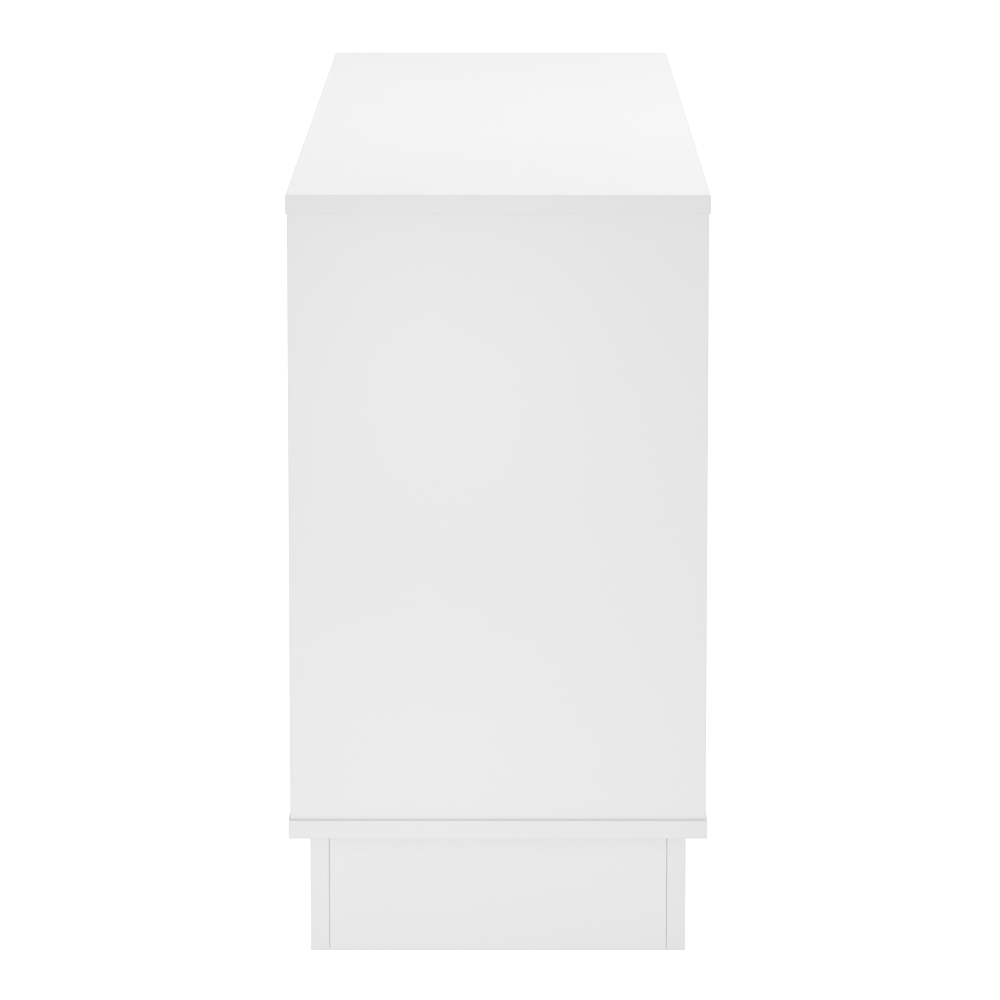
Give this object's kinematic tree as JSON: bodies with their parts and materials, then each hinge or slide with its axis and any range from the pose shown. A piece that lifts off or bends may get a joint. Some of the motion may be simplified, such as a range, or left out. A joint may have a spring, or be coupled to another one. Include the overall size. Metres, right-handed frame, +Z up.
{
  "type": "tv stand with doors",
  "caption": "Low white cabinet for a television, with inset handleless doors beside an open bay, on a recessed plinth.",
  "frame": {"origin": "on the floor under the middle of the cabinet", "axes": "+X along the length to the right seen from the front, +Y towards the back, +Z up; the doors face -Y"},
  "size_m": [1.6, 0.4, 0.732],
  "materials": {
    "board": "white satin-gloss lacquered board with matching edge band",
    "backing": "white painted hardboard, low sheen",
    "steel": "zinc-plated steel",
    "zinc": "die-cast zinc, dull",
    "plastic": "white moulded plastic, fine matt"
  },
  "bodies": {
    "carcass": {"back_panel": "backing", "bottom_panel": "board", "cable_grommet_centre": "plastic", "cable_grommet_left": "plastic", "cable_grommet_right": "plastic", "cam_divider_left_lower_back": "zinc", "cam_divider_left_lower_front": "zinc", "cam_divider_left_upper_back": "zinc", "cam_divider_left_upper_front": "zinc", "cam_divider_right_lower_back": "zinc", "cam_divider_right_lower_front": "zinc", "cam_divider_right_upper_back": "zinc", "cam_divider_right_upper_front": "zinc", "cam_side_panel_left_lower_back": "zinc", "cam_side_panel_left_lower_front": "zinc", "cam_side_panel_left_upper_back": "zinc", "cam_side_panel_left_upper_front": "zinc", "cam_side_panel_right_lower_back": "zinc", "cam_side_panel_right_lower_front": "zinc", "cam_side_panel_right_upper_back": "zinc", "cam_side_panel_right_upper_front": "zinc", "divider_left": "board", "divider_right": "board", "latch_housing_left": "plastic", "latch_housing_right": "plastic", "pivot_bush_left_lower": "plastic", "pivot_bush_left_upper": "plastic", "pivot_bush_right_lower": "plastic", "pivot_bush_right_upper": "plastic", "plinth_back": "board", "plinth_brace_left": "board", "plinth_brace_right": "board", "plinth_end_left": "board", "plinth_end_right": "board", "plinth_front": "board", "shelf_centre": "board", "shelf_left": "board", "shelf_pin_left_inner_back": "steel", "shelf_pin_left_inner_front": "steel", "shelf_pin_left_outer_back": "steel", "shelf_pin_left_outer_front": "steel", "shelf_pin_right_inner_back": "steel", "shelf_pin_right_inner_front": "steel", "shelf_pin_right_outer_back": "steel", "shelf_pin_right_outer_front": "steel", "shelf_right": "board", "side_panel_left": "board", "side_panel_right": "board", "top_panel": "board"},
    "door_left": {"door_left": "board", "latch_strike_left": "steel", "pivot_pin_left_lower": "steel", "pivot_pin_left_upper": "steel"},
    "door_right": {"door_right": "board", "latch_strike_right": "steel", "pivot_pin_right_lower": "steel", "pivot_pin_right_upper": "steel"},
    "plunger_left": {"latch_plunger_left": "plastic"},
    "plunger_right": {"latch_plunger_right": "plastic"}
  },
  "joints": [
    {"name": "left_door_hinge", "type": "hinge", "parent": "carcass", "child": "door_left", "pos_m": [-0.7585, -0.1895, 0.423], "axis": [0, 0, 1], "range_deg": [-120, 0]},
    {"name": "right_door_hinge", "type": "hinge", "parent": "carcass", "child": "door_right", "pos_m": [0.7585, -0.1895, 0.423], "axis": [0, 0, 1], "range_deg": [0, 120]},
    {"name": "left_latch_slide", "type": "slide", "parent": "carcass", "child": "plunger_left", "axis": [0, -1, 0], "range_m": [0, 0.02]},
    {"name": "right_latch_slide", "type": "slide", "parent": "carcass", "child": "plunger_right", "axis": [0, -1, 0], "range_m": [0, 0.02]}
  ],
  "couplings": [
    {"joint": "left_latch_slide", "follows": "left_door_hinge", "m_per_rad": -0.0095},
    {"joint": "right_latch_slide", "follows": "right_door_hinge", "m_per_rad": 0.0095}
  ]
}
